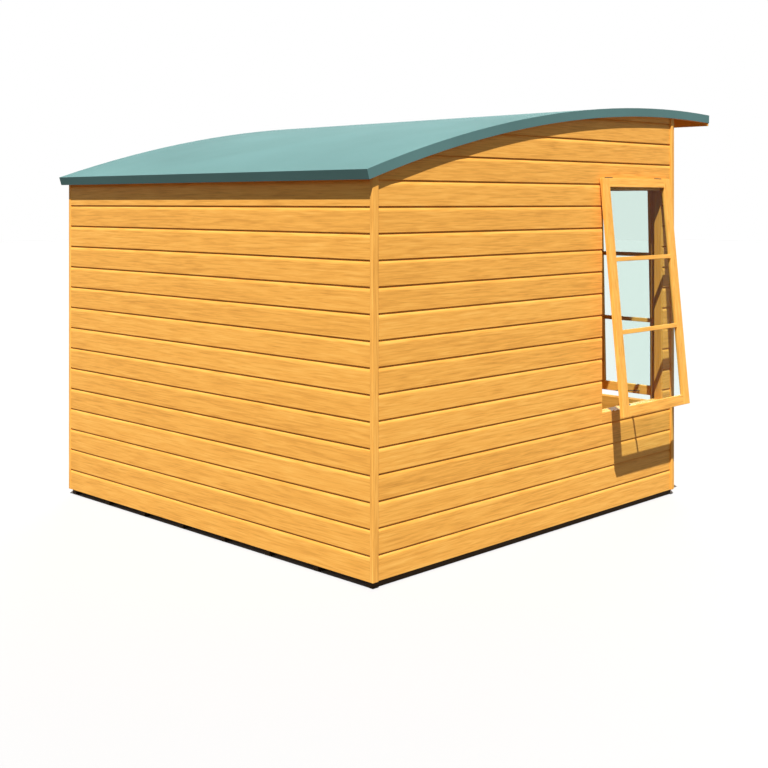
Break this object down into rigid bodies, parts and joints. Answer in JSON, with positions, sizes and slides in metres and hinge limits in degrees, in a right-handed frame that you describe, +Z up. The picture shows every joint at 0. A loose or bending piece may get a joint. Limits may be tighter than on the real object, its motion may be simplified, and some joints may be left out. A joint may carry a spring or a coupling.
{
  "type": "summerhouse",
  "caption": "Timber garden summerhouse with shiplap walls, a curved felted roof, glazed double doors and top-hung windows standing ajar.",
  "frame": {"origin": "on the ground under the middle of the roof's plan", "axes": "+X to the right seen from in front, +Y from the doors to the back wall, +Z up"},
  "size_m": [2.696, 2.769, 2.137],
  "materials": {
    "cladding": "golden-brown dipped softwood shiplap",
    "framing": "planed softwood, golden-brown dip",
    "trim": "planed softwood, golden-brown dip",
    "joinery": "smooth planed softwood, golden-brown dip",
    "boards": "tongued and grooved softwood boards",
    "joists": "dark pressure-treated softwood",
    "felt": "green mineral-surfaced bitumen felt",
    "glass": "clear glazing",
    "ironwork": "black painted steel"
  },
  "bodies": {
    "root": {"floor_joists": "joists", "floor_deck": "boards", "back_cladding": "cladding", "back_frame": "framing", "left_cladding": "cladding", "left_frame": "framing", "right_cladding": "cladding", "right_frame": "framing", "side_plates": "framing", "front_left_cladding": "cladding", "front_right_cladding": "cladding", "front_header_cladding": "cladding", "front_frame": "framing", "back_left_trim": "trim", "back_right_trim": "trim", "front_left_trim": "trim", "front_right_trim": "trim", "door_frame": "trim", "door_threshold": "trim", "left_door": "joinery", "left_door_glass": "glass", "right_door": "joinery", "right_door_glass": "glass", "door_hinges": "ironwork", "door_lock": "ironwork", "left_sash": "joinery", "left_glass": "glass", "left_sill": "trim", "right_sash": "joinery", "right_glass": "glass", "right_sill": "trim", "front_left_sash": "joinery", "front_left_glass": "glass", "front_right_sash": "joinery", "front_right_glass": "glass", "window_hinges": "ironwork", "window_stays": "ironwork", "roof_deck": "boards", "roof_felt": "felt", "roof_side_battens": "trim", "roof_back_batten": "trim", "front_fascia": "trim", "roof_ribs": "framing"}
  },
  "joints": []
}
